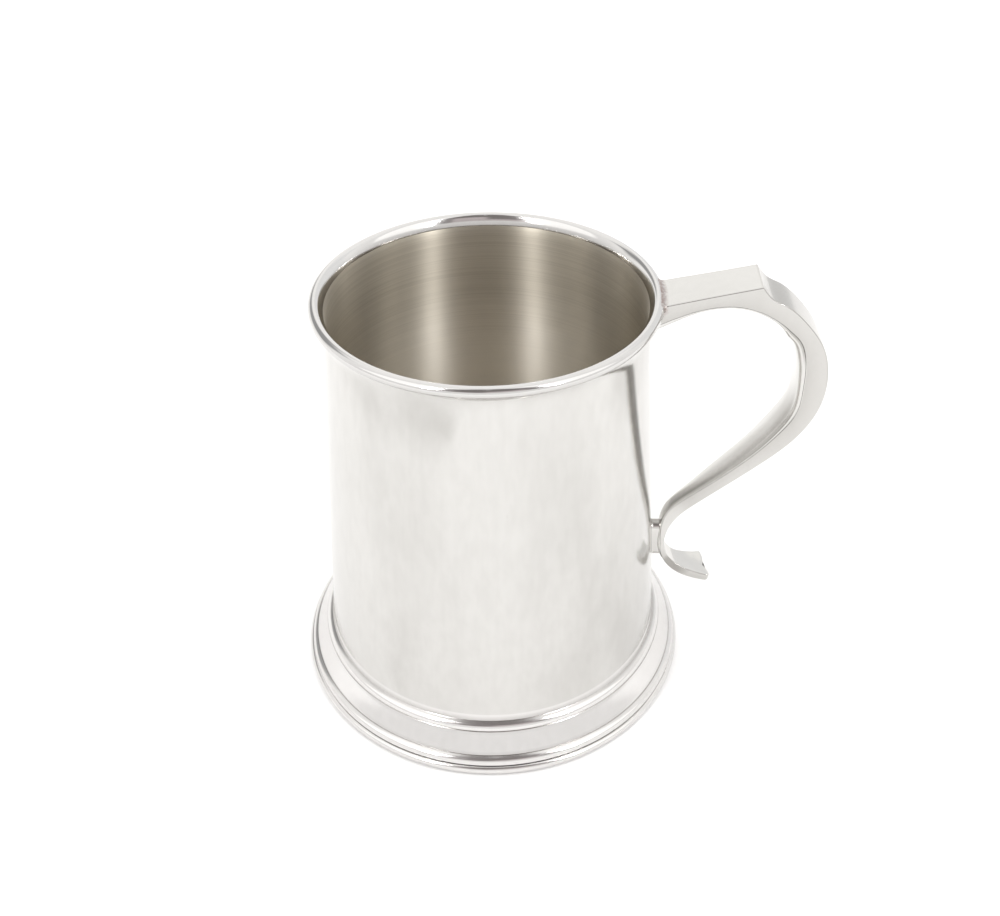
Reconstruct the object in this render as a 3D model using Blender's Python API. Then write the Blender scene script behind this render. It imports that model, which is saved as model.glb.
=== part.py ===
"""Silver pint tankard: a tapered drum, a round lip wire, a stepped foot and a scroll handle.

Metres, +Z up. The table is z = 0, and the handle lies towards +X, in the plane y = 0. Every
piece is one solid in its own object, modelled round the axis of the cup. The pieces hang from
an empty on that axis, which stands off the origin so that the origin is under the middle of
the whole tankard.
"""

import math
from collections import namedtuple

import bmesh
import bpy
import numpy as np

# Clearance left between two pieces that touch
GAP = 0.0003

# Points of a mesh that are merged, and points of an outline that are too near to keep both
MERGE_DISTANCE = 0.000001
NEAREST_POINTS = 0.00005

# Steps round the axis of the turned pieces, and the angle from which an edge stays sharp
SEGMENTS = 72
SHARP_ANGLE = math.radians(35)

# Drum: one sheet, tapered from the foot to the lip, with a flared top edge
RIM_HEIGHT = 0.1191
DRUM_TOP_RADIUS = 0.0411
DRUM_FOOT_RADIUS = 0.0488
DRUM_WALL = 0.0008
DRUM_SKIRT = 0.0016
FLARE_HEIGHT = 0.0045
FLARE_STEPS = 5

# Lip: a round wire on the flared edge
LIP_RADIUS = 0.0440
LIP_WIRE_RADIUS = 0.00146
LIP_WIRE_SIDES = 14
LIP_SEAT = 0.0006
LIP_SEAT_ARC = (-60.0, 90.0)

# Base: a slightly domed disc inside the drum
BASE_HEIGHT = 0.0078
BASE_THICKNESS = 0.0009
BASE_DOME = 0.0012
BASE_RINGS = 3

# Foot wire: the flat ring that the tankard stands on
FOOT_WIRE_HEIGHT = 0.0026
FOOT_WIRE_WIDTH = 0.0038
FOOT_WIRE_STEP = 0.0010
FOOT_WIRE_ROUND = 0.0011
FOOT_WIRE_SIDES = 6

# Foot moulding, from its top edge down: cove, upper bead, plain band, lower bead
MOULD_WALL = 0.0010
COVE_HEIGHT = 0.0019
COVE_WIDTH = 0.0009
UPPER_BEAD_HEIGHT = 0.0018
UPPER_BEAD_WIDTH = 0.0011
UPPER_BEAD_BULGE = 0.0006
BAND_HEIGHT = 0.0058
BAND_WIDTH = 0.0035
BAND_HOLLOW = 0.0002
LOWER_BEAD_HEIGHT = 0.0025
LOWER_BEAD_WIDTH = 0.0016
LOWER_BEAD_BULGE = 0.0007
BEAD_NICK = 0.0002
ARC_STEPS = 5

# Handle: a channel-shaped strap, and a rounded liner that closes its finger side
HANDLE_STATIONS = 72
HANDLE_WALL = 0.0010
STRAP_SIDES = 5
LINER_SIDES = 9
TERMINAL_SCOOP = 0.0007
TIP_DRAWBACK = (0.0004, 0.0000, 0.0014, 0.0012, 0.0021)

# Lower joint: a small pad between the drum and the handle
JOINT_HEIGHT = 0.0385
JOINT_STANDOFF = 0.0014
PAD_HEIGHT = 0.0121
PAD_WIDTH = 0.0044
PAD_SIDES = 11

# Handle stations along its run. The first number says what a place is measured from: 0 is the
# lip's outermost radius at the rim, 1 is the standoff at the joint's height, and a share between
# them is that share of the way down from one to the other. Each row then has the back arris and
# the inner edge of the flat sides, outward and up, the width, and the rounded liner's depth.
HANDLE_RUN = (
    (0.00, (-0.0060, -0.0017), (-0.0060, -0.0079), 0.0134, 0.0026),
    (0.00, (0.0035, 0.0004), (0.0034, -0.0034), 0.0129, 0.0019),
    (0.00, (0.0090, 0.0017), (0.0088, -0.0015), 0.0125, 0.0013),
    (0.00, (0.0155, 0.0032), (0.0152, -0.0006), 0.0122, 0.0010),
    (0.00, (0.0225, 0.0047), (0.0211, -0.0015), 0.0120, 0.0010),
    (0.00, (0.0254, 0.0014), (0.0248, -0.0031), 0.0119, 0.0011),
    (0.00, (0.0287, -0.0003), (0.0278, -0.0050), 0.0118, 0.0013),
    (0.05, (0.0338, -0.0007), (0.0310, -0.0038), 0.0119, 0.0015),
    (0.10, (0.0382, -0.0024), (0.0336, -0.0030), 0.0119, 0.0016),
    (0.20, (0.0406, -0.0014), (0.0351, -0.0015), 0.0118, 0.0016),
    (0.30, (0.0409, -0.0004), (0.0351, 0.0001), 0.0117, 0.0016),
    (0.40, (0.0391, -0.0003), (0.0343, 0.0007), 0.0115, 0.0014),
    (0.50, (0.0346, -0.0002), (0.0306, 0.0019), 0.0112, 0.0010),
    (0.60, (0.0277, -0.0001), (0.0249, 0.0024), 0.0100, 0.0007),
    (0.75, (0.0179, 0.0023), (0.0151, 0.0041), 0.0079, 0.0005),
    (0.90, (0.0100, 0.0065), (0.0074, 0.0087), 0.0055, 0.0005),
    (1.00, (0.0048, 0.0087), (0.0020, 0.0103), 0.0046, 0.0005),
    (1.00, (0.0024, 0.0030), (0.0007, 0.0034), 0.0049, 0.0005),
    (1.00, (0.0022, -0.0015), (0.0008, -0.0019), 0.0051, 0.0005),
    (1.00, (0.0034, -0.0050), (0.0021, -0.0061), 0.0053, 0.0005),
    (1.00, (0.0059, -0.0076), (0.0047, -0.0096), 0.0061, 0.0005),
    (1.00, (0.0102, -0.0094), (0.0095, -0.0116), 0.0084, 0.0005),
    (1.00, (0.0163, -0.0105), (0.0163, -0.0118), 0.0112, 0.0005),
)
RIDGE_ROW = 4
CAVITY_ROWS = (3, 15)
LINER_ROWS = (0, 19)
PAD_ROWS = (15, 20)
SCOOP_ROWS = (19, 22)

# One section of the handle: its place in rows along the run, and its sizes there
Station = namedtuple("Station", "row back inner width liner scoop")

# Places that follow from the sizes above
LIP_CENTRE_RADIUS = LIP_RADIUS - LIP_WIRE_RADIUS
LIP_CENTRE_HEIGHT = RIM_HEIGHT - LIP_WIRE_RADIUS
DRUM_TOP = LIP_CENTRE_HEIGHT - LIP_WIRE_RADIUS - GAP
FLARE_START = DRUM_TOP - FLARE_HEIGHT
DRUM_BOTTOM = BASE_HEIGHT - DRUM_SKIRT
MOULD_BOTTOM = FOOT_WIRE_HEIGHT + GAP
MOULD_TOP = MOULD_BOTTOM + LOWER_BEAD_HEIGHT + BAND_HEIGHT + UPPER_BEAD_HEIGHT + COVE_HEIGHT


def clear_scene():
    """Remove every object that the scene holds."""
    for item in list(bpy.data.objects):
        bpy.data.objects.remove(item, do_unlink=True)


def silver(name, colour, roughness):
    """Make one metal finish."""
    finish = bpy.data.materials.new(name)
    finish.use_nodes = True
    shader = finish.node_tree.nodes["Principled BSDF"]
    shader.inputs["Base Color"].default_value = (*colour, 1.0)
    shader.inputs["Metallic"].default_value = 1.0
    shader.inputs["Roughness"].default_value = roughness
    return finish


def drum_radius(height):
    """Outer radius of the tapered drum at a height."""
    share = (height - DRUM_BOTTOM) / (FLARE_START - DRUM_BOTTOM)
    return DRUM_FOOT_RADIUS + (DRUM_TOP_RADIUS - DRUM_FOOT_RADIUS) * share


def add_object(name, bm, finish):
    """Turn a bmesh into a smooth-shaded object with its own finish."""
    bmesh.ops.recalc_face_normals(bm, faces=bm.faces)
    mesh = bpy.data.meshes.new(name)
    bm.to_mesh(mesh)
    bm.free()
    mesh.shade_smooth()
    mesh.set_sharp_from_angle(angle=SHARP_ANGLE)
    item = bpy.data.objects.new(name, mesh)
    bpy.context.scene.collection.objects.link(item)
    if finish is not None:
        mesh.materials.append(finish)
    return item


def add_cutter(name, bm):
    """Turn a bmesh into a hidden cutter."""
    item = add_object(name, bm, None)
    item.hide_render = True
    item.display_type = "WIRE"
    return item


def cut(item, cutter):
    """Subtract a cutter from an object with an exact Boolean."""
    step = item.modifiers.new("cut " + cutter.name, "BOOLEAN")
    step.operation = "DIFFERENCE"
    step.solver = "EXACT"
    step.object = cutter


def turned(profile, closed=True):
    """Spin an outline of (radius, height) points round the Z axis."""
    bm = bmesh.new()
    points = [bm.verts.new((radius, 0.0, height)) for radius, height in profile]
    pairs = list(zip(points[:-1], points[1:]))
    if closed:
        pairs.append((points[-1], points[0]))
    edges = [bm.edges.new(pair) for pair in pairs]
    bmesh.ops.spin(bm, geom=points + edges, cent=(0.0, 0.0, 0.0), axis=(0.0, 0.0, 1.0),
                   angle=math.tau, steps=SEGMENTS, use_duplicate=False)
    bmesh.ops.remove_doubles(bm, verts=bm.verts, dist=MERGE_DISTANCE)
    return bm


def lofted(rings):
    """Skin closed rings of points, an array of (stations, sides, 3), and cap both ends."""
    bm = bmesh.new()
    grid = [[bm.verts.new(point) for point in ring] for ring in rings]
    for ring, following in zip(grid[:-1], grid[1:]):
        for side, corner in enumerate(ring):
            before = side - 1
            bm.faces.new((ring[before], corner, following[side], following[before]))
    bm.faces.new(grid[0])
    bm.faces.new(list(reversed(grid[-1])))
    return bm


def bulged(start, end, bulge):
    """Points from start to end on a shallow arc that stands out by bulge on its right hand."""
    (r0, z0), (r1, z1) = start, end
    length = math.hypot(r1 - r0, z1 - z0)
    across = ((z0 - z1) / length, (r1 - r0) / length)
    points = []
    for step in range(ARC_STEPS + 1):
        share = step / ARC_STEPS
        lift = bulge * math.sin(math.pi * share)
        points.append((r0 + (r1 - r0) * share + across[0] * lift,
                       z0 + (z1 - z0) * share + across[1] * lift))
    return points


def flare(grow):
    """Wall outline from the start of the flare up to the drum's top edge, moved out by grow."""
    top_radius = LIP_CENTRE_RADIUS - LIP_SEAT + DRUM_WALL / 2
    points = []
    for step in range(FLARE_STEPS + 1):
        share = step / FLARE_STEPS
        radius = DRUM_TOP_RADIUS + (top_radius - DRUM_TOP_RADIUS) * share ** 2
        points.append((radius + grow, FLARE_START + FLARE_HEIGHT * share))
    return points


def make_drum():
    """Tapered wall with its flared top edge."""
    outside = [(DRUM_FOOT_RADIUS, DRUM_BOTTOM)] + flare(0.0)
    inside = flare(-DRUM_WALL)[::-1] + [(DRUM_FOOT_RADIUS - DRUM_WALL, DRUM_BOTTOM)]
    finish = silver("polished silver drum", (0.88, 0.87, 0.84), 0.14)
    return add_object("drum", turned(outside + inside), finish)


def lip_circle(radius, first, last, sides):
    """Points on a circle round the lip wire's centre, between two angles in degrees."""
    angles = np.radians(np.linspace(first, last, sides))
    return [(LIP_CENTRE_RADIUS + radius * math.cos(a), LIP_CENTRE_HEIGHT + radius * math.sin(a))
            for a in angles]


def make_lip_wire():
    """Round wire that finishes the rim."""
    ring = lip_circle(LIP_WIRE_RADIUS, -90.0, 270.0, LIP_WIRE_SIDES + 1)[:-1]
    finish = silver("polished silver lip", (0.90, 0.89, 0.86), 0.08)
    return add_object("lip_wire", turned(ring), finish)


def make_base_plate():
    """Domed disc that closes the drum."""
    edge = drum_radius(BASE_HEIGHT + BASE_THICKNESS) - DRUM_WALL - GAP
    under = []
    for ring in range(BASE_RINGS + 1):
        share = ring / BASE_RINGS
        under.append((edge * share, BASE_HEIGHT + BASE_DOME * (1.0 - share ** 2)))
    over = [(radius, height + BASE_THICKNESS) for radius, height in reversed(under)]
    finish = silver("satin silver base", (0.80, 0.78, 0.74), 0.30)
    return add_object("base_plate", turned(under + over, closed=False), finish)


def mould_outline():
    """Outside of the foot moulding, from its top edge down to its lower edge."""
    top = (drum_radius(MOULD_TOP) + GAP + BEAD_NICK, MOULD_TOP)
    bead = (drum_radius(MOULD_TOP) + GAP + COVE_WIDTH, MOULD_TOP - COVE_HEIGHT)
    band = (bead[0] + UPPER_BEAD_WIDTH, bead[1] - UPPER_BEAD_HEIGHT)
    groove = (band[0] + BAND_WIDTH, band[1] - BAND_HEIGHT)
    foot = (groove[0] + LOWER_BEAD_WIDTH, groove[1] - LOWER_BEAD_HEIGHT)
    outline = bulged(top, bead, -BEAD_NICK)
    outline += bulged(bead, band, UPPER_BEAD_BULGE)
    outline += [(band[0] - BEAD_NICK, band[1] - BEAD_NICK)]
    outline += bulged((band[0], band[1] - 2 * BEAD_NICK), groove, -BAND_HOLLOW)
    outline += [(groove[0] - BEAD_NICK, groove[1] - BEAD_NICK)]
    outline += bulged((groove[0], groove[1] - 2 * BEAD_NICK), foot, LOWER_BEAD_BULGE)
    return outline


def make_foot_moulding():
    """Stepped strip round the bottom of the drum, open underneath."""
    outline = mould_outline()
    top = outline[0][1]
    foot_edge, foot = outline[-1]
    throat = top - COVE_HEIGHT
    inner = [(foot_edge - MOULD_WALL, foot),
             (foot_edge - MOULD_WALL - LOWER_BEAD_WIDTH, foot + LOWER_BEAD_HEIGHT),
             (drum_radius(throat) + GAP, throat - UPPER_BEAD_HEIGHT),
             (drum_radius(top) + GAP, top)]
    tidy = [outline[0]]
    for point in outline[1:] + inner:
        if math.dist(point, tidy[-1]) > NEAREST_POINTS:
            tidy.append(point)
    finish = silver("polished silver moulding", (0.90, 0.89, 0.86), 0.10)
    return add_object("foot_moulding", turned(tidy), finish)


def foot_radius():
    """Outermost radius of the foot wire."""
    return mould_outline()[-1][0] + FOOT_WIRE_STEP


def make_foot_wire():
    """Flat ring under the moulding, with a rounded outer edge."""
    outer = foot_radius()
    inner = outer - FOOT_WIRE_WIDTH
    half = FOOT_WIRE_HEIGHT / 2
    arc = []
    for step in range(FOOT_WIRE_SIDES + 1):
        angle = math.pi * (0.5 - step / FOOT_WIRE_SIDES)
        arc.append((outer - FOOT_WIRE_ROUND * (1 - math.cos(angle)), half + half * math.sin(angle)))
    finish = silver("polished silver foot wire", (0.88, 0.87, 0.84), 0.12)
    return add_object("foot_wire", turned([(inner, 0.0), (inner, FOOT_WIRE_HEIGHT)] + arc), finish)


def smooth_curve(knots, values, places):
    """Natural cubic spline through values at knots, read at places. Values may have columns."""
    knots = np.asarray(knots, float)
    values = np.asarray(values, float).reshape(len(knots), -1)
    step = np.diff(knots)
    matrix = np.eye(len(knots))
    right = np.zeros_like(values)
    for k in range(1, len(knots) - 1):
        matrix[k, k - 1:k + 2] = step[k - 1], 2 * (step[k - 1] + step[k]), step[k]
        right[k] = 6 * ((values[k + 1] - values[k]) / step[k] - (values[k] - values[k - 1]) / step[k - 1])
    bend = np.linalg.solve(matrix, right)
    k = np.clip(np.searchsorted(knots, places, side="right") - 1, 0, len(step) - 1)
    h = step[k][:, None]
    a = (knots[k + 1] - places)[:, None] / h
    b = 1.0 - a
    chord = a * values[k] + b * values[k + 1]
    return chord + ((a ** 3 - a) * bend[k] + (b ** 3 - b) * bend[k + 1]) * h ** 2 / 6


def handle_stations():
    """Sections of the handle, evenly spaced along its run from the lip to the tip."""
    share, back, inner, width, liner = zip(*HANDLE_RUN)
    lip = np.array((LIP_RADIUS, RIM_HEIGHT))
    joint = np.array((drum_radius(JOINT_HEIGHT) + JOINT_STANDOFF, JOINT_HEIGHT))
    base = lip + np.outer(share, joint - lip)
    back = base + np.array(back)
    inner = base + np.array(inner)
    strides = np.linalg.norm(np.diff((back + inner) / 2, axis=0), axis=1)
    knots = np.concatenate(([0.0], np.cumsum(strides)))
    ridge = knots[RIDGE_ROW]
    places = np.linspace(0.0, knots[-1], HANDLE_STATIONS)
    places[np.argmin(abs(places - ridge))] = ridge
    scroll = smooth_curve(knots[RIDGE_ROW:], back[RIDGE_ROW:], np.maximum(places, ridge))
    rise = (places / ridge)[:, None]
    flat_top = back[0] + (back[RIDGE_ROW] - back[0]) * rise
    back = np.where(rise <= 1.0, flat_top, scroll)
    inner = smooth_curve(knots, inner, places)
    width = np.interp(places, knots, width)
    liner = np.interp(places, knots, liner)
    scoop = np.interp(places, knots[list(SCOOP_ROWS)], (0.0, TERMINAL_SCOOP))
    rows = np.interp(places, knots, np.arange(len(knots)))
    return [Station(*values) for values in zip(rows, back, inner, width, liner, scoop)]


def between_rows(stations, rows):
    """Stations from one row of the handle's run to another."""
    return [station for station in stations if rows[0] <= station.row <= rows[1]]


def halfway(first, second):
    """Station in the middle of two others."""
    return Station(*((a + b) / 2 for a, b in zip(first, second)))


def section_points(station, depths, across):
    """World points of one section: depths run from its back to its inner edge, across along Y."""
    way = station.inner - station.back
    line = station.back + np.outer(depths, way / np.linalg.norm(way))
    return np.stack([line[:, 0], across, line[:, 1]], axis=1)


def strap_depth(station):
    """Depth of the strap's flat sides."""
    return np.linalg.norm(station.inner - station.back)


def strap_ring(station):
    """Four-cornered section of the strap, dished by its scoop on the back and on the inside."""
    share = np.linspace(-1.0, 1.0, STRAP_SIDES)
    dish = station.scoop * (1.0 - share ** 2)
    depths = np.concatenate((dish, (strap_depth(station) + dish)[::-1]))
    across = np.concatenate((share, share[::-1])) * station.width / 2
    return section_points(station, depths, across)


def notch_tip(rings):
    """Draw the end ring back, and its neighbour by half, so that the tip has two uneven lobes."""
    drawback = np.concatenate((TIP_DRAWBACK, TIP_DRAWBACK[::-1]))
    way = rings[-1] - rings[-2]
    way[:, 1] = 0.0
    way *= (drawback / np.linalg.norm(way, axis=1))[:, None]
    rings[-1] = rings[-1] - way
    rings[-2] = rings[-2] - way / 2


def cavity_ring(station):
    """Section of the hollow in the strap, which runs out past the finger side."""
    mouth = strap_depth(station) + HANDLE_WALL
    half = station.width / 2 - HANDLE_WALL
    depths = np.array([HANDLE_WALL, HANDLE_WALL, mouth, mouth])
    return section_points(station, depths, np.array([-half, half, half, -half]))


def liner_ring(station, grow=0.0):
    """Half-round section that closes the finger side of the strap, swelled by grow."""
    angles = np.linspace(0.0, math.pi, LINER_SIDES)
    depths = strap_depth(station) + GAP + (station.liner + grow) * np.sin(angles)
    return section_points(station, depths, -np.cos(angles) * (station.width / 2 + grow))


def make_drum_envelope():
    """Cutter: the drum and lip with their clearance, filled to the axis and above the rim."""
    above = RIM_HEIGHT + FLARE_HEIGHT
    wall = [(0.0, MOULD_TOP), (drum_radius(MOULD_TOP) + GAP, MOULD_TOP)] + flare(GAP)[:-1]
    lip = lip_circle(LIP_WIRE_RADIUS + GAP, *LIP_SEAT_ARC, LIP_WIRE_SIDES)
    crest = [(lip[-1][0], above), (0.0, above)]
    return add_cutter("drum_envelope", turned(wall + lip + crest, closed=False))


def make_handle_strap(stations, envelope):
    """Flat back and sides of the handle, with the scooped terminal at its end."""
    rings = [strap_ring(station) for station in stations]
    notch_tip(rings)
    finish = silver("polished silver handle", (0.86, 0.84, 0.81), 0.16)
    strap = add_object("handle_strap", lofted(rings), finish)
    first = next(k for k, station in enumerate(stations) if station.row >= CAVITY_ROWS[0])
    last = max(k for k, station in enumerate(stations) if station.row <= CAVITY_ROWS[1])
    hollow = [halfway(stations[first - 1], stations[first])]
    hollow += stations[first:last + 1]
    hollow += [halfway(stations[last], stations[last + 1])]
    cut(strap, add_cutter("handle_cavity", lofted([cavity_ring(station) for station in hollow])))
    cut(strap, envelope)
    return strap


def make_handle_liner(stations, envelope):
    """Rounded inner strip of the handle, from the drum to the lower joint."""
    rings = [liner_ring(station) for station in between_rows(stations, LINER_ROWS)]
    finish = silver("polished silver liner", (0.84, 0.82, 0.79), 0.18)
    strip = add_object("handle_liner", lofted(rings), finish)
    cut(strip, envelope)
    return strip


def make_joint_pad(stations, envelope):
    """Small pad with round ends, between the drum and the handle's lower end."""
    inside = drum_radius(JOINT_HEIGHT + PAD_HEIGHT) - JOINT_STANDOFF
    outside = drum_radius(JOINT_HEIGHT) + JOINT_STANDOFF + GAP
    half = PAD_WIDTH / 2
    reach = PAD_HEIGHT / 2 - half
    outline = []
    for end in (1, -1):
        for step in range(PAD_SIDES + 1):
            angle = math.pi * step / PAD_SIDES
            height = JOINT_HEIGHT + end * (reach + half * math.sin(angle))
            outline.append((end * half * math.cos(angle), height))
    rings = [[(x, y, z) for y, z in outline] for x in (inside, outside)]
    finish = silver("polished silver pad", (0.84, 0.82, 0.79), 0.18)
    pad = add_object("joint_pad", lofted(rings), finish)
    grown = [liner_ring(station, grow=GAP) for station in between_rows(stations, PAD_ROWS)]
    cut(pad, envelope)
    cut(pad, add_cutter("liner_envelope", lofted(grown)))
    return pad


def hang_on_axis(stations):
    """Parent every object to an empty on the cup's axis, half the handle's overhang off the origin."""
    reach = max(station.back[0] for station in stations)
    pieces = list(bpy.data.objects)
    axis = bpy.data.objects.new("cup_axis", None)
    axis.location.x = (foot_radius() - reach) / 2
    bpy.context.scene.collection.objects.link(axis)
    for piece in pieces:
        piece.parent = axis


def main():
    """Build every piece."""
    clear_scene()
    make_drum()
    make_lip_wire()
    make_base_plate()
    make_foot_moulding()
    make_foot_wire()
    stations = handle_stations()
    envelope = make_drum_envelope()
    make_handle_strap(stations, envelope)
    make_handle_liner(stations, envelope)
    make_joint_pad(stations, envelope)
    hang_on_axis(stations)


if __name__ == "__main__":
    main()
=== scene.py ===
"""Silver pint tankard: fine surfaces, solder and finishes over the fixed CAD frame.

Metres, +Z up. The frame's origin is on the table, under the middle of the whole outline. The cup
is turned about its own axis, which is read from the drum's box, and the handle lies towards +X in
the plane y = 0. Places are written as radius from the cup's axis and height above the table, and
only the last step of each piece shifts it to the axis.
"""

import logging
import math
from dataclasses import dataclass
from enum import Enum
from typing import Sequence, Union

import bpy
import numpy as np
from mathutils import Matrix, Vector


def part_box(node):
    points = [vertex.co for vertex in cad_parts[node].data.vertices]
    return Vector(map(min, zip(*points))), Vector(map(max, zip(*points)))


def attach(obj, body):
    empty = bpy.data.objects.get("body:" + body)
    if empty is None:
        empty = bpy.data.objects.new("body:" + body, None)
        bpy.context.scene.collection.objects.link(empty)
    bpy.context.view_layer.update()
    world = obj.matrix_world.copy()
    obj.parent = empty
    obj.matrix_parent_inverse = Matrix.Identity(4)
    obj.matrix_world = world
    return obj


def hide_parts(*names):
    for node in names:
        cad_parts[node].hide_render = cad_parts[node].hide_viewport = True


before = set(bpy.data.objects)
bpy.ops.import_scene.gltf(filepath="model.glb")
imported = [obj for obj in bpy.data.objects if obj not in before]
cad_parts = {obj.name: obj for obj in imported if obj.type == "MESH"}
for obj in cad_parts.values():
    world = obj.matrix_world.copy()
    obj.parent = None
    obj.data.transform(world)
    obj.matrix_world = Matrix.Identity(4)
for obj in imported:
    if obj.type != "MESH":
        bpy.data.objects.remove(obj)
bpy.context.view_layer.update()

LOG = logging.getLogger("tankard")
Material = bpy.types.Material
Array = np.ndarray
Number = Union[Array, float]
Marks = dict[str, Array]
Point = tuple[float, float]
Colour = tuple[float, float, float]
Rows = tuple[float, float, float, float]

BODY = "root"
UP = (0.0, 0.0, 1.0)

# Steps round the cup's axis, and how an outline is rounded and read
SEGMENTS = 288
FINE_STEP = 0.00001
LONG_STEP = 0.0020
TURN_STEP = math.radians(5)
SHARP_ANGLE = math.radians(40)


class Slot(Enum):
    """Material slots of the record."""

    POLISHED = "polished_silver"
    SATIN = "satin_silver"


# Shader graphs


@dataclass(frozen=True)
class Link:
    """Output of a node, which takes part in Python arithmetic."""

    graph: "Graph"
    socket: bpy.types.NodeSocket

    def __add__(self, other: "Value") -> "Link":
        """Sum of two values."""
        return self.graph.math("ADD", self, other)

    def __sub__(self, other: "Value") -> "Link":
        """Difference of two values."""
        return self.graph.math("SUBTRACT", self, other)

    def __rsub__(self, other: "Value") -> "Link":
        """Difference of two values, with a plain number first."""
        return self.graph.math("SUBTRACT", other, self)

    def __mul__(self, other: "Value") -> "Link":
        """Product of two values."""
        return self.graph.math("MULTIPLY", self, other)

    __radd__ = __add__
    __rmul__ = __mul__


Value = Union[Link, float]


@dataclass(frozen=True)
class Graph:
    """Node graph of a material or of the world, written as Python expressions."""

    tree: bpy.types.NodeTree

    def node(self, kind: str, settings: dict | None = None,
             inputs: dict | None = None) -> bpy.types.Node:
        """Add a node.

        Args:
            kind: the node's type name without its ShaderNode prefix.
            settings: the node's own properties, set before its sockets.
            inputs: values or links by socket name or index.

        Returns:
            The node.
        """
        made = self.tree.nodes.new("ShaderNode" + kind)
        for name, value in (settings or {}).items():
            setattr(made, name, value)
        for name, value in (inputs or {}).items():
            self.feed(made.inputs[name], value)
        return made

    def feed(self, socket: bpy.types.NodeSocket, value: object) -> None:
        """Link an input socket, or set its own value.

        Args:
            socket: the socket.
            value: a Link, or what the socket itself holds.
        """
        if isinstance(value, Link):
            self.tree.links.new(value.socket, socket)
        else:
            socket.default_value = value

    def out(self, made: bpy.types.Node, output: Union[str, int] = 0) -> Link:
        """Output of a node."""
        return Link(self, made.outputs[output])

    def math(self, operation: str, *values: Value) -> Link:
        """Math node on one to three values."""
        return self.out(self.node("Math", {"operation": operation}, dict(enumerate(values))))

    def ramp(self, value: Link, low: float, high: float, floor: float = 0.0,
             top: float = 1.0) -> Link:
        """Smooth step of a value, from floor at low to top at high."""
        ends = {"Value": value, "From Min": low, "From Max": high, "To Min": floor, "To Max": top}
        return self.out(self.node("MapRange", {"interpolation_type": "SMOOTHSTEP"}, ends))

    def blend(self, factor: Value, first: object, second: object) -> Link:
        """Mix two colours by a factor."""
        inputs = {0: factor, 6: first, 7: second}
        return self.out(self.node("Mix", {"data_type": "RGBA"}, inputs), 2)

    def place(self, stretch: Sequence[float] = (1.0, 1.0, 1.0)) -> Link:
        """Object coordinates, multiplied along each axis."""
        coordinates = self.out(self.node("TexCoord"), "Object")
        return self.out(self.node("Mapping", None, {"Vector": coordinates, "Scale": stretch}))

    def mark(self, name: str) -> Link:
        """Value that a piece's mesh carries at its points."""
        source = {"attribute_type": "GEOMETRY", "attribute_name": name}
        return self.out(self.node("Attribute", source), "Fac")

    def noise(self, scale: float, detail: float = 2.0,
              stretch: Sequence[float] = (1.0, 1.0, 1.0)) -> Link:
        """Noise between 0 and 1 on Object coordinates that are multiplied along each axis."""
        inputs = {"Vector": self.place(stretch), "Scale": scale, "Detail": detail}
        return self.out(self.node("TexNoise", None, inputs))

    def across(self, vector: Link, way: Sequence[float]) -> Link:
        """Length of a vector along a direction."""
        inputs = {0: vector, 1: [float(part) for part in way]}
        return self.out(self.node("VectorMath", {"operation": "DOT_PRODUCT"}, inputs), "Value")

    def bump(self, height: Value, distance: float) -> Link:
        """Normal of a height map whose full range is distance."""
        inputs = {"Height": height, "Strength": 1.0, "Distance": distance}
        return self.out(self.node("Bump", None, inputs))


def opaque(colour: Sequence[float]) -> tuple[float, ...]:
    """Colour with full alpha."""
    return (*colour, 1.0)


# Finishes


@dataclass(frozen=True)
class Finish:
    """Metal finish that every silver surface starts from.

    Args:
        name: the material's name.
        colour: reflected colour of the clean metal.
        roughness: roughness of the clean metal.
    """

    name: str
    colour: Colour
    roughness: float

    def start(self) -> tuple[Material, Graph, bpy.types.Node]:
        """Make the material with its constant values set on the shader's own sockets.

        Returns:
            The material, its graph and its shader node.
        """
        material = bpy.data.materials.new(self.name)
        material.use_nodes = True
        graph = Graph(material.node_tree)
        shader = material.node_tree.nodes["Principled BSDF"]
        shader.inputs["Metallic"].default_value = 1.0
        return material, graph, shader


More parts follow.
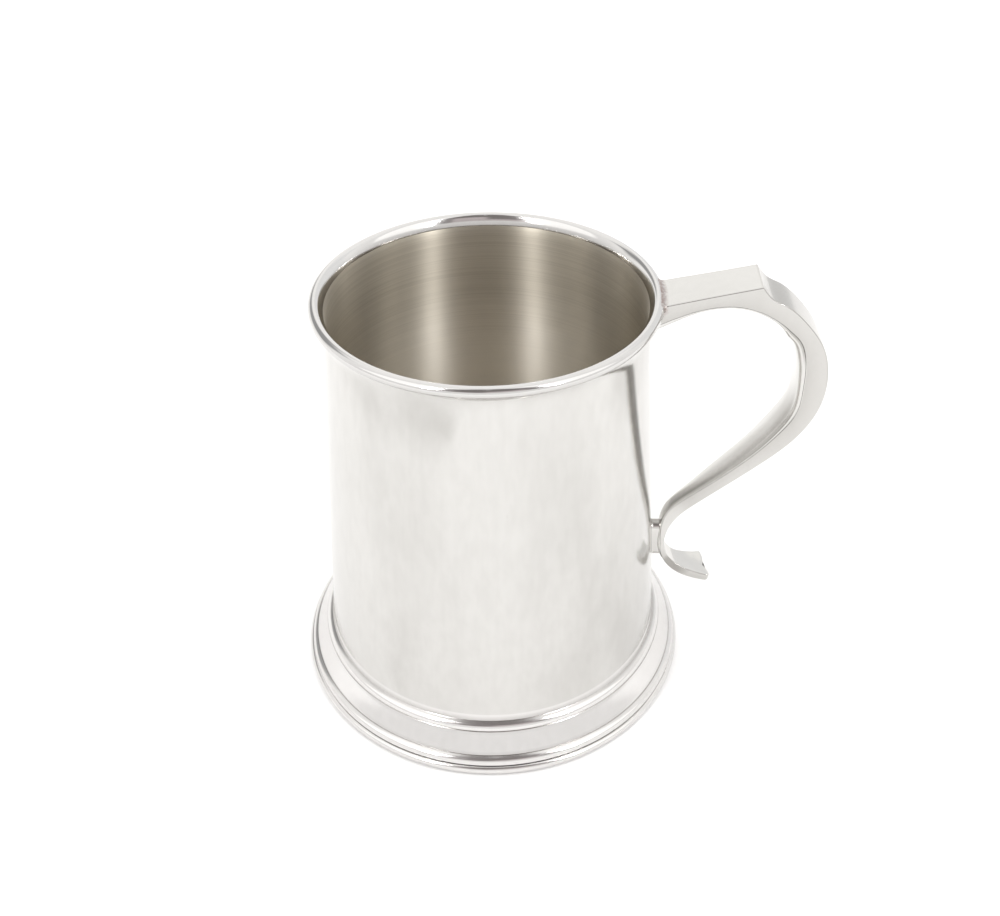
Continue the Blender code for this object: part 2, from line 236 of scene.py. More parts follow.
@dataclass(frozen=True)
class PolishedSilver(Finish):
    """Hand-polished silver: soft ripples, wiping marks, small pits, and darker films of tarnish,
    painted shade and painted reflections.

    Args:
        ripple: depth of the slow ripples.
        ripple_scale: ripples per metre.
        pits: share of the pit cells that hold a pit.
        pit: colour in a pit.
        clouds: warmer, darker colour of the stains.
        stain: how strongly the broad stains show.
        stroke: how strongly the upright strokes show.
        bloom: how strongly the fine grey bloom of old polish shows.
        drum_darkening: colour of the darker film on the drum, a band below the rim and soft
            patches, some of them painted reflections.
        tarnish_and_painted_shade: colour of the darker film: tarnish in seams and creases, painted
            shade under the foot's cove and on the handle's sides and heel, painted reflections on
            the handle's back and liner, and the darker foot of the rim's fairing.
        crust: colour of the rough solder round the joints.
    """

    ripple: float = 0.000012
    ripple_scale: float = 70.0
    pits: float = 0.10
    pit: Colour = (0.35, 0.32, 0.29)
    clouds: Colour = (0.50, 0.49, 0.47)
    stain: float = 0.33
    stroke: float = 0.05
    bloom: float = 0.15
    drum_darkening: Colour = (0.40, 0.39, 0.37)
    tarnish_and_painted_shade: Colour = (0.13, 0.115, 0.095)
    crust: Colour = (0.36, 0.29, 0.27)

    def build(self) -> Material:
        """Make the material.

        Returns:
            The material.
        """
        material, graph, shader = self.start()
        slow = graph.noise(self.ripple_scale)
        wiped = graph.noise(900.0, 4.0, (1.0, 1.0, 0.12))
        cloud = graph.noise(45.0, 5.0, (1.0, 1.0, 0.45))
        grit = graph.noise(1400.0, 3.0)
        broad = graph.noise(26.0, 3.0, (1.0, 1.0, 0.35))
        strokes = graph.noise(600.0, 3.0, (1.0, 1.0, 0.05))
        fine = graph.noise(400.0, 5.0, (1.0, 1.0, 0.45))
        cells = {"Vector": graph.place(), "Scale": 240.0, "Randomness": 1.0}
        seeds = graph.node("TexVoronoi", {"feature": "F1"}, cells)
        chance = graph.out(graph.node("SeparateColor", None, {0: graph.out(seeds, "Color")}))
        pit = (graph.ramp(chance, self.pits, self.pits * 0.9)
               * graph.ramp(graph.out(seeds, "Distance"), 0.05, 0.02))
        # Darker film from the mark: tarnish in seams and creases, and painted shade and painted
        # reflections on the foot and handle.
        darkening = graph.mark("tarnish_and_painted_shade") * graph.ramp(cloud * 0.6 + grit * 0.4, 0.25, 0.6, 0.75)
        solder = graph.mark("solder")
        stained = (graph.ramp(broad, 0.35, 0.70) * self.stain
                   + graph.ramp(strokes, 0.35, 0.75) * self.stroke
                   + graph.ramp(fine, 0.25, 0.75) * self.bloom)
        layers = (
            (stained, self.clouds),
            # Darker film on the drum, partly painted reflections.
            (graph.mark("drum_darkening") * graph.ramp(cloud, 0.46, 0.66), self.drum_darkening),
            (pit * 0.6, self.pit),
            (darkening, self.tarnish_and_painted_shade),
            (solder * graph.ramp(grit, 0.35, 0.60, 0.35), self.crust),
        )
        tone = opaque(self.colour)
        for share, colour in layers:
            tone = graph.blend(share, tone, opaque(colour))
        graph.feed(shader.inputs["Base Color"], tone)
        graph.feed(shader.inputs["Roughness"], wiped * 0.05 + stained * 0.10 + darkening * 0.12
                   + solder * 0.22 + (self.roughness - 0.025))
        relief = slow + wiped * 0.02 - pit * 1.5 + solder * grit * 6.0
        graph.feed(shader.inputs["Normal"], graph.bump(relief, self.ripple))
        return material


@dataclass(frozen=True)
class SatinSilver(Finish):
    """Matt silver with fine turning marks that run round the axis.

    Args:
        brushing: how far the marks stretch a highlight.
        turn: share of a turn between the marks' shine and the surface's tangent.
        groove: depth of the marks.
        mottle: darker colour of the uneven patches.
        painted_light: lighter colour low in the cup, painted light where the deep wall looks
            brighter.
        painted_light_rows: heights at which the painted light is full and gone.
        painted_light_share: share of the painted light where it is full.
    """

    brushing: float = 0.96
    turn: float = 0.25
    groove: float = 0.000003
    mottle: Colour = (0.48, 0.44, 0.37)
    painted_light: Colour = (0.97, 0.92, 0.83)
    painted_light_rows: Point = (0.064, 0.104)
    painted_light_share: float = 0.75

    def build(self) -> Material:
        """Make the material.

        Returns:
            The material.
        """
        material, graph, shader = self.start()
        shader.inputs["Anisotropic"].default_value = self.brushing
        shader.inputs["Anisotropic Rotation"].default_value = self.turn
        fine = graph.noise(1.0, 3.0, (14.0, 14.0, 2600.0))
        broad = graph.noise(1.0, 4.0, (18.0, 18.0, 60.0))
        marks = graph.ramp(broad, 0.35, 0.75) * 0.4 + graph.ramp(fine, 0.3, 0.8) * 0.6
        tone = graph.blend(marks, opaque(self.colour), opaque(self.mottle))
        # Painted light: lighter colour low in the cup.
        height = graph.across(graph.place(), UP)
        low = graph.ramp(height, *self.painted_light_rows, self.painted_light_share, 0.0)
        graph.feed(shader.inputs["Base Color"], graph.blend(low, tone, opaque(self.painted_light)))
        graph.feed(shader.inputs["Roughness"], fine * 0.10 + broad * 0.08 + (self.roughness - 0.09))
        graph.feed(shader.inputs["Normal"], graph.bump(fine, self.groove))
        return material


@dataclass(frozen=True)
class Finishes:
    """Every finish of the tankard, built once."""

    body: Material
    inside: Material
    rim: Material
    foot: Material
    handle: Material

    @classmethod
    def build(cls) -> "Finishes":
        """Build the materials from their values."""
        return cls(
            body=PolishedSilver("polished body", (0.70, 0.69, 0.67), 0.115).build(),
            inside=SatinSilver("satin inside", (0.60, 0.555, 0.475), 0.45).build(),
            rim=PolishedSilver("polished rim", (0.72, 0.71, 0.70), 0.10,
                               stain=0.12, bloom=0.04).build(),
            foot=PolishedSilver("polished foot", (0.78, 0.765, 0.755), 0.14,
                                stain=0.15, bloom=0.07).build(),
            handle=PolishedSilver("polished handle", (0.72, 0.71, 0.69), 0.12,
                                  stain=0.15, bloom=0.05).build(),
        )


# Surfaces


def grid_faces(rows: int, columns: int, ring: bool) -> Array:
    """Quads of a grid of points whose columns wrap round.

    The quad at (i, j) joins the points (i, j), (i, j + 1), (i + 1, j + 1) and (i + 1, j).

    Args:
        rows: rows of points.
        columns: points in a row.
        ring: whether the last row also joins the first.

    Returns:
        Point numbers, (faces, 4).
    """
    i, j = np.meshgrid(np.arange(rows if ring else rows - 1), np.arange(columns), indexing="ij")
    down, across = (i + 1) % rows, (j + 1) % columns
    corners = (i * columns + j, i * columns + across, down * columns + across, down * columns + j)
    return np.stack(corners, axis=-1).reshape(-1, 4)


def fan_faces(first: int, columns: int, centre: int) -> Array:
    """Triangles from a centre point to each edge of the row that starts at the first point."""
    j = np.arange(columns)
    return np.stack([np.full(columns, centre), first + (j + 1) % columns, first + j], axis=-1)


def enclosed(points: Array, quads: Array) -> float:
    """Volume of the wedges between each quad and the first point, negative if turned inwards."""
    a, b, c, d = (points[quads[:, k]] - points[0] for k in range(4))
    return float((np.cross(b, c) * a).sum() + (np.cross(c, d) * a).sum()) / 6.0


def show(name: str, data: bpy.types.ID) -> bpy.types.Object:
    """Put a mesh, lamp or camera into the scene.

    Args:
        name: the object's name.
        data: what it shows.

    Returns:
        The object.
    """
    item = bpy.data.objects.new(name, data)
    bpy.context.scene.collection.objects.link(item)
    return item


def skin(name: str, grid: Array, finish: Material, marks: Marks | None = None,
         ring: bool = False) -> bpy.types.Object:
    """Make a closed piece of a grid of points, with its faces turned outwards.

    The columns wrap round. Where the rows don't, a fan to its own middle closes each end row.

    Args:
        name: the piece's name.
        grid: points, (rows, columns, 3).
        finish: its material.
        marks: values for the finish to read, by name, (rows, columns).
        ring: whether the last row joins the first.

    Returns:
        The piece.
    """
    rows, columns = grid.shape[:2]
    points = grid.reshape(-1, 3)
    quads = grid_faces(rows, columns, ring)
    inward = enclosed(points, quads) < 0.0
    caps = np.empty((0, 3), int)
    if not ring:
        count = len(points)
        points = np.concatenate([points, grid[[0, -1]].mean(axis=1)])
        start = fan_faces(0, columns, count)
        end = fan_faces(count - columns, columns, count + 1)[:, ::-1]
        caps = np.concatenate([start, end])
    if inward:
        quads, caps = quads[:, ::-1], caps[:, ::-1]
    mesh = bpy.data.meshes.new(name)
    mesh.from_pydata(points.tolist(), [], quads.tolist() + caps.tolist())
    mesh.materials.append(finish)
    mesh.shade_smooth()
    mesh.set_sharp_from_angle(angle=SHARP_ANGLE)
    for label, values in (marks or {}).items():
        spread = values.ravel()
        if not ring:
            spread = np.concatenate([spread, values[[0, -1]].mean(axis=1)])
        layer = mesh.attributes.new(label, "FLOAT", "POINT")
        layer.data.foreach_set("value", spread.astype(np.float32))
    return show(name, mesh)


def register(piece: bpy.types.Object, node: str) -> None:
    """Ride a piece on the tankard, hide the CAD node that it replaces, and log which node it stands
    for.

    Args:
        piece: the piece.
        node: the CAD node that it replaces.
    """
    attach(piece, BODY)
    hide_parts(node)
    LOG.info("%s: %d faces, stands for %s", piece.name, len(piece.data.polygons), node)


def bow(start: Point, end: Point, bulge: float, steps: int = 24) -> Array:
    """Shallow arc between two points of an outline.

    A point at a share t of the chord stands out from it by bulge * sin(pi * t), to the right of
    the way from start to end.

    Args:
        start: first point.
        end: last point.
        bulge: how far the middle stands out.
        steps: steps along the arc.

    Returns:
        The points, both ends among them, (steps + 1, 2).
    """
    a, b = np.array(start), np.array(end)
    way = b - a
    across = np.array([-way[1], way[0]]) / np.linalg.norm(way)
    share = np.linspace(0.0, 1.0, steps + 1)[:, None]
    return a + way * share + across * bulge * np.sin(np.pi * share)


def soft_outline(corners: Sequence[Point], softness: float) -> Array:
    """Round every corner of a closed outline, and spread its points by need.

    The outline is read at fine even steps and averaged with a bell curve, which rounds each
    corner by about the curve's width. Its points are then spread so that a step between two of
    them turns by at most TURN_STEP and is at most LONG_STEP long.

    Args:
        corners: the outline's points.
        softness: width of the bell curve.

    Returns:
        The new outline, (points, 2).
    """
    line = np.array([*corners, corners[0]])
    along = np.concatenate(([0.0], np.cumsum(np.linalg.norm(np.diff(line, axis=0), axis=1))))
    places = np.linspace(0.0, along[-1], int(along[-1] / FINE_STEP) + 1)[:-1]
    fine = np.stack([np.interp(places, along, line[:, k]) for k in range(2)], axis=1)
    reach = int(3 * softness / FINE_STEP)
    bell = np.exp(-0.5 * (np.arange(-reach, reach + 1) * FINE_STEP / softness) ** 2)
    bell /= bell.sum()
    padded = np.pad(fine, ((reach, reach), (0, 0)), mode="wrap")
    soft = np.stack([np.convolve(padded[:, k], bell, mode="valid") for k in range(2)], axis=1)
    soft = np.concatenate([soft, soft[:1]])
    way = np.diff(soft, axis=0)
    stride = np.linalg.norm(way, axis=1)
    heading = np.unwrap(np.arctan2(way[:, 1], way[:, 0]))
    turning = np.abs(np.diff(heading, prepend=heading[0]))
    need = np.concatenate(([0.0], np.cumsum(stride / LONG_STEP + turning / TURN_STEP)))
    spread = np.linspace(0.0, need[-1], math.ceil(need[-1]) + 1)[:-1]
    return np.stack([np.interp(spread, need, soft[:, k]) for k in range(2)], axis=1)


def turned(name: str, outline: Array, axis_x: float, finish: Material,
           marks: Marks | None = None, ring: bool = True) -> bpy.types.Object:
    """Turn an outline about the cup's axis.

    The point at outline place (r, z) and angle a lands on (axis + r cos a, r sin a, z).

    Args:
        name: the piece's name.
        outline: points of radius and height, (points, 2).
        axis_x: where the cup's axis stands.
        finish: its material.
        marks: values for the finish to read, by name, one a point or (points, SEGMENTS).
        ring: whether the outline is closed.

    Returns:
        The piece.
    """
    angle = np.linspace(0.0, math.tau, SEGMENTS, endpoint=False)
    radius, height = outline[:, :1], outline[:, 1:]
    places = (axis_x + radius * np.cos(angle), radius * np.sin(angle), height + 0.0 * angle)
    spread = {label: values.reshape(len(outline), -1) + 0.0 * angle
              for label, values in (marks or {}).items()}
    return skin(name, np.stack(places, axis=-1), finish, spread, ring)


def nearness(points: Array, places: Sequence[Point], reach: float) -> Array:
    """Largest of e to the power of -(d / reach)^2, for a point at distance d from each place."""
    away = np.linalg.norm(points[:, None] - np.array(places)[None], axis=2)
    return np.exp(-((away / reach) ** 2)).max(axis=1)


def ramped(value: Array, low: float, high: float) -> Array:
    """Smooth step from nought at low to one at high: 3 t^2 - 2 t^3 of the share t between them."""
    share = np.clip((value - low) / (high - low), 0.0, 1.0)
    return share * share * (3.0 - 2.0 * share)


def between(value: Array, rows: Rows) -> Array:
    """Smooth step up from the first row to the second, times one down from the third on."""
    first, full, fade, last = rows
    return ramped(value, first, full) * ramped(value, last, fade)


def fillet(away: Array, reach: float) -> Array:
    """How far solder of reach R stands out at a distance g: R - sqrt(R^2 - (R - g)^2)."""
    near = np.clip(reach - away, 0.0, None)
    return reach - np.sqrt(reach**2 - near**2)


def smooth_curve(knots: Array, values: Array, places: Array) -> Array:
    """Natural cubic spline: the second derivatives at its knots solve one set of equations.

    Args:
        knots: places of the given values.
        values: the values, with any number of columns.
        places: where the curve is read.

    Returns:
        The values there, with the same columns.
    """
    columns = values.reshape(len(knots), -1)
    step = np.diff(knots)
    matrix = np.eye(len(knots))
    right = np.zeros_like(columns)
    inner = np.arange(1, len(knots) - 1)
    matrix[inner, inner - 1] = step[:-1]
    matrix[inner, inner] = 2.0 * (step[:-1] + step[1:])
    matrix[inner, inner + 1] = step[1:]
    slope = np.diff(columns, axis=0) / step[:, None]
    right[inner] = 6.0 * np.diff(slope, axis=0)
    bend = np.linalg.solve(matrix, right)
    k = np.clip(np.searchsorted(knots, places, side="right") - 1, 0, len(step) - 1)
    h = step[k][:, None]
    a = (knots[k + 1] - places)[:, None] / h
    b = 1.0 - a
    bent = (a**3 - a) * bend[k] + (b**3 - b) * bend[k + 1]
    curve = a * columns[k] + b * columns[k + 1] + bent * h**2 / 6
    return curve.reshape((len(places),) + values.shape[1:])


# Sub-assemblies


@dataclass
class Cup:
    """Drum, rim wire and floor of the cup. Sizes are the CAD model's own."""

    axis_x: float
    finishes: Finishes
    rim_height: float = 0.1191
    lip_radius: float = 0.0440
    wire_radius: float = 0.00146
    wire_gap: float = 0.0003
    wire_seat: float = 0.0006
    drum_top_radius: float = 0.0411
    drum_foot_radius: float = 0.0488
    drum_bottom: float = 0.0062
    wall: float = 0.0008
    flare_height: float = 0.0045
    floor_height: float = 0.0078
    floor_thickness: float = 0.0009
    floor_dome: float = 0.0012
    fairing_power: float = 3.4
    fairing_turn: float = 34.0
    polish_line: float = 0.11624
    fairing_darkening: float = 0.34
    # Darker film on the drum: a band below the rim, and soft patches of angle, height, reach round,
    # reach up and strength; the patches at -125 and -45 degrees are painted reflections of darker
    # surroundings.
    drum_darkening_rows: Rows = (0.0960, 0.1110, 0.1110, 0.1165)
    drum_darkening: float = 0.42
    patches: tuple[tuple[float, float, float, float, float], ...] = (
        (-125.0, 0.024, 14.0, 0.022, 0.40),
        (-98.0, 0.104, 12.0, 0.006, 0.42),
        (-45.0, 0.050, 24.0, 0.040, 0.30),
        (60.0, 0.070, 40.0, 0.030, 0.25),
        (150.0, 0.040, 30.0, 0.030, 0.25),
    )
    polish_edge: float = 0.00002
    edge_softness: float = 0.00012
    wire_softness: float = 0.00004

    def __post_init__(self) -> None:
        """Work out the places that follow from the sizes."""
        self.wire_centre: Point = (self.lip_radius - self.wire_radius,
                                   self.rim_height - self.wire_radius)
        self.drum_top = self.rim_height - 2 * self.wire_radius - self.wire_gap
        self.flare_start = self.drum_top - self.flare_height
        flared = self.wire_centre[0] - self.wire_seat + self.wall / 2
        self.flare_width = flared - self.drum_top_radius
        meeting = math.radians(180.0 - self.fairing_turn)
        self.fairing_top: Point = (self.wire_centre[0] + self.wire_radius * math.cos(meeting),
                                   self.wire_centre[1] + self.wire_radius * math.sin(meeting))

    def radius(self, height: Number) -> Number:
        """Outer radius of the drum: a straight taper, plus a flare that grows as the square.

        Args:
            height: heights above the table.

        Returns:
            The radii there.
        """
        share = (height - self.drum_bottom) / (self.flare_start - self.drum_bottom)
        flare = np.clip((height - self.flare_start) / self.flare_height, 0.0, None)
        widening = self.drum_top_radius - self.drum_foot_radius
        taper = self.drum_foot_radius + widening * np.minimum(share, 1.0)
        return taper + self.flare_width * flare**2

    def inside(self, height: Array) -> Array:
        """Inner radius of the cup: the taper, filled out to meet the wire without a crease.

        The filling grows as a power of the share of the height between the start of the flare and
        the place where the fairing meets the wire.

        Args:
            height: heights above the table.

        Returns:
            The radii there.
        """
        widening = self.drum_top_radius - self.drum_foot_radius
        lean = widening / (self.flare_start - self.drum_bottom)
        taper = self.drum_top_radius - self.wall + lean * (height - self.flare_start)
        reach = self.fairing_top[1] - self.flare_start
        share = np.clip((height - self.flare_start) / reach, 0.0, 1.0)
        full = self.fairing_top[0] - (self.drum_top_radius - self.wall + lean * reach)
        return taper + full * share**self.fairing_power

    def gap(self, points: Array) -> tuple[Array, Array]:
        """Distance of points from the outside of the drum and its wire, and the way out.

        Args:
            points: places from the cup's axis, (..., 3).

        Returns:
            The distances, negative inside, and unit vectors that point away from the surface.
        """
        radius = np.hypot(points[..., 0], points[..., 1])
        around = points[..., :2] / radius[..., None]
        height = points[..., 2]
        from_wire = np.stack([radius - self.wire_centre[0], height - self.wire_centre[1]], axis=-1)
        reach = np.linalg.norm(from_wire, axis=-1)
        wire = reach - self.wire_radius
        wall = np.where(height > self.wire_centre[1], np.inf, radius - self.radius(height))
        way = np.where((wire < wall)[..., None], from_wire / reach[..., None], (1.0, 0.0))
        out = np.concatenate([around * way[..., :1], way[..., 1:]], axis=-1)
        return np.minimum(wire, wall), out

    def drum_darkening_map(self, height: Array) -> Array:
        """Cloudy darker film on the outside, by height and angle round the axis.

        A band rises towards the rim. A patch is its angle and height, its reach round and up, and
        its strength, which falls as e to the power of minus the squares of both shares of the
        reach. The patches at -125 and -45 degrees are painted reflections of darker surroundings.

        Args:
            height: heights above the table.

        Returns:
            The darkening, (heights, SEGMENTS).
        """
        angle = np.linspace(0.0, 360.0, SEGMENTS, endpoint=False)
        darkening = self.drum_darkening * between(height, self.drum_darkening_rows)[:, None] + 0.0 * angle
        for turn, middle, wide, tall, strength in self.patches:
            away = (angle - turn + 180.0) % 360.0 - 180.0
            up = height[:, None] - middle
            darkening = darkening + strength * np.exp(-((away / wide) ** 2) - (up / tall) ** 2)
        return darkening

    def shell_outline(self) -> Array:
        """Outline of the drum's wall, from its bottom edge up the outside and down the inside.

        Returns:
            The outline, (points, 2).
        """
        top = self.wire_centre[1] - self.wire_radius / 2
        taper = np.linspace(self.drum_bottom, self.flare_start, 60)[:-1]
        height = np.concatenate([taper, np.linspace(self.flare_start, top, 16)])
        outside = np.stack([self.radius(height), height], axis=1)
        inside = np.stack([self.inside(height) + self.polish_edge, height], axis=1)[::-1]
        return soft_outline(np.concatenate([outside, inside]), self.edge_softness)

    def build_shell(self) -> None:
        """Turn the drum's wall, polished outside and brushed inside."""
        outline = self.shell_outline()
        outer = outline[:, 0] > (self.radius(outline[:, 1]) + self.inside(outline[:, 1])) / 2
        # The darker film outside, partly painted reflections.
        marks = {"drum_darkening": outer[:, None] * self.drum_darkening_map(outline[:, 1])}
        piece = turned("drum_shell", outline, self.axis_x, self.finishes.body, marks)
        piece.data.materials.append(self.finishes.inside)
        centres = np.empty(len(piece.data.polygons) * 3)
        piece.data.polygons.foreach_get("center", centres)
        centres = centres.reshape(-1, 3)
        radius = np.hypot(centres[:, 0] - self.axis_x, centres[:, 1])
        inner = radius < (self.radius(centres[:, 2]) + self.inside(centres[:, 2])) / 2
        piece.data.polygons.foreach_set("material_index", inner.astype(int))
        register(piece, "drum")

    def wire_outline(self) -> Array:
        """Outline of the rim: the wire's circle, then the fairing down to the brushed wall.

        Returns:
            The outline, (points, 2).
        """
        angle = np.radians(np.linspace(-115.0, 180.0 - self.fairing_turn, 60))
        circle = np.stack([np.cos(angle), np.sin(angle)], axis=1) * self.wire_radius
        height = np.linspace(self.fairing_top[1], self.polish_line, 24)[1:]
        fairing = np.stack([self.inside(height), height], axis=1)
        root = fairing[-1] + (4 * self.wall / 10, -self.wall / 20)
        points = np.concatenate([circle + self.wire_centre, fairing, root[None]])
        return soft_outline(points, self.wire_softness)

    def build_wire(self) -> None:
        """Turn the round wire of the rim with the fairing inside it."""
        outline = self.wire_outline()
        # The fairing grows darker down towards the brushed wall.
        darkening = self.fairing_darkening * ramped(outline[:, 1], self.fairing_top[1], self.polish_line)
        wire = turned("rim_wire", outline, self.axis_x, self.finishes.rim, {"tarnish_and_painted_shade": darkening})
        register(wire, "lip_wire")

    def build_floor(self) -> None:
        """Turn the floor: both faces rise inwards as one minus the square of the radius."""
        edge = self.radius(self.floor_height + self.floor_thickness) - self.wall
        share = np.linspace(0.02, 1.0, 24)
        rise = self.floor_height + self.floor_dome * (1.0 - share**2)
        under = np.stack([edge * share, rise], axis=1)
        outline = np.concatenate([under, under[::-1] + (0.0, self.floor_thickness)])
        piece = turned("cup_floor", outline, self.axis_x, self.finishes.inside, ring=False)
        register(piece, "base_plate")

    def build(self) -> None:
        """Build the drum, its rim wire and its floor."""
        self.build_shell()
        self.build_wire()
        self.build_floor()


@dataclass
class Foot:
    """Stepped moulding round the bottom of the drum, and the flat ring under it."""

    cup: Cup
    ring_height: float = 0.0026
    ring_width: float = 0.0038
    ring_step: float = 0.0010
    ring_round: float = 0.0011
    cove: Point = (0.0009, 0.0019)
    upper_bead: Point = (0.0011, 0.0018)
    upper_bulge: float = 0.00042
    band: Point = (0.0035, 0.0058)
    band_hollow: float = 0.00008
    lower_bead: Point = (0.0016, 0.0025)
    lower_bulge: float = 0.00055
    wall: float = 0.0010
    # Darker creases, partly tarnish and partly painted shade, and painted shade in the corner under
    # the cove.
    crease: float = 0.00022
    crease_shade: float = 0.8
    corner_reach: float = 0.0006
    corner_shade: float = 0.40
    shoulder: Point = (0.0004, 0.0015)
    softness: float = 0.00013

    def __post_init__(self) -> None:
        """Work out the moulding's height over the ring and the gap between them."""
        steps = self.lower_bead[1] + self.band[1] + self.upper_bead[1] + self.cove[1]
        self.top = self.ring_height + self.cup.wire_gap + steps

    def steps(self) -> list[Point]:
        """Outermost corners of the moulding.

        Returns:
            The corners under the cove, the upper bead and the band, and at the foot.
        """
        radius = self.cup.radius(self.top) + self.cup.wire_gap + self.cove[0]
        corners = [(radius, self.top - self.cove[1])]
        for width, height in (self.upper_bead, self.band, self.lower_bead):
            corners.append((corners[-1][0] + width, corners[-1][1] - height))
        return corners

    def shoulder_corner(self) -> Point:
        """Corner between the cove and the upper bead."""
        return self.cup.radius(self.top) + self.shoulder[0], self.top - self.shoulder[1]

    def outline(self) -> list[Point]:
        """Outline of the moulding, from its top edge down the outside and up the inside.

        Returns:
            Its corners, with arcs for the beads and the band.
        """
        _, band, groove, foot = self.steps()
        top, crease = self.cup.radius(self.top), self.crease
        throat = self.top - self.cove[1] - self.upper_bead[1]
        return [
            (top - self.shoulder[0] / 4, self.top + 2 * self.shoulder[0]),
            (top + self.shoulder[0] / 8, self.top),
            *bow(self.shoulder_corner(), band, self.upper_bulge),
            (band[0] - crease, band[1] - crease * 0.6),
            *bow((band[0], band[1] - crease), groove, -self.band_hollow),
            (groove[0] - crease, groove[1] - crease * 0.6),
            *bow((groove[0], groove[1] - crease), foot, self.lower_bulge),
            (foot[0] - self.wall, foot[1]),
            (foot[0] - self.wall - self.lower_bead[0], groove[1]),
            (self.cup.radius(throat) - self.wall / 2, throat),
            (top - self.wall / 2, self.top),
        ]

    def build_moulding(self) -> None:
        """Turn the moulding, with creases darkened by tarnish and painted shade, and painted shade
        under the cove.
        """
        outline = soft_outline(self.outline(), self.softness)
        creases = [(r - self.crease / 2, z - self.crease / 2) for r, z in self.steps()[1:3]]
        # Painted shade in the corner under the cove; darker creases of tarnish and painted shade.
        corner = nearness(outline, [self.shoulder_corner()], self.corner_reach)
        darkening = np.maximum(nearness(outline, creases, self.crease) * self.crease_shade,
                          corner * self.corner_shade)
        finish = self.cup.finishes.foot
        steps = turned("foot_steps", outline, self.cup.axis_x, finish, {"tarnish_and_painted_shade": darkening})
        register(steps, "foot_moulding")

    def build_ring(self) -> None:
        """Turn the flat ring, whose outer edge is half an ellipse."""
        outer = self.steps()[-1][0] + self.ring_step
        angle = np.linspace(0.5, -0.5, 17) * math.pi
        half = self.ring_height / 2
        edge = outer - self.ring_round * (1 - np.cos(angle))
        arc = np.stack([edge, half + half * np.sin(angle)], axis=1)
        inner = outer - self.ring_width
        outline = soft_outline([(inner, 0.0), (inner, self.ring_height), *arc], self.softness)
        ring = turned("foot_ring", outline, self.cup.axis_x, self.cup.finishes.foot)
        register(ring, "foot_wire")

    def build(self) -> None:
        """Build the moulding and the ring."""
        self.build_moulding()
        self.build_ring()


@dataclass
class Run:
    """Sections of the handle along its run, each value an array with one entry a section.

    The value left is the length to the tip, beside is how far a section lies beside the pad, and
    seam is the film in the seam, of which there is none beside the pad or where solder fills it.
    """

    row: Array
    back: Array
    inner: Array
    half: Array
    liner: Array
    scoop: Array
    left: Array
    beside: Array
    seam: Array

    @property
    def depth(self) -> Array:
        """Depth of the flat sides."""
        return np.linalg.norm(self.inner - self.back, axis=1)

    @property
    def way(self) -> Array:
        """Unit vectors from the back to the inner edge, as radius and height."""
        return (self.inner - self.back) / self.depth[:, None]

    def points(self, across: Array, deep: Array) -> Array:
        """Points at places across and depths from the back, each (sections, points)."""
        line = self.back[:, None] + deep[..., None] * self.way[:, None]
        return np.stack([line[..., 0], across, line[..., 1]], axis=-1)

    def cut(self, first: float, last: float) -> "Run":
        """Part of the run between two rows."""
        keep = (self.row >= first) & (self.row <= last)
        return Run(*(getattr(self, name)[keep] for name in self.__dataclass_fields__))


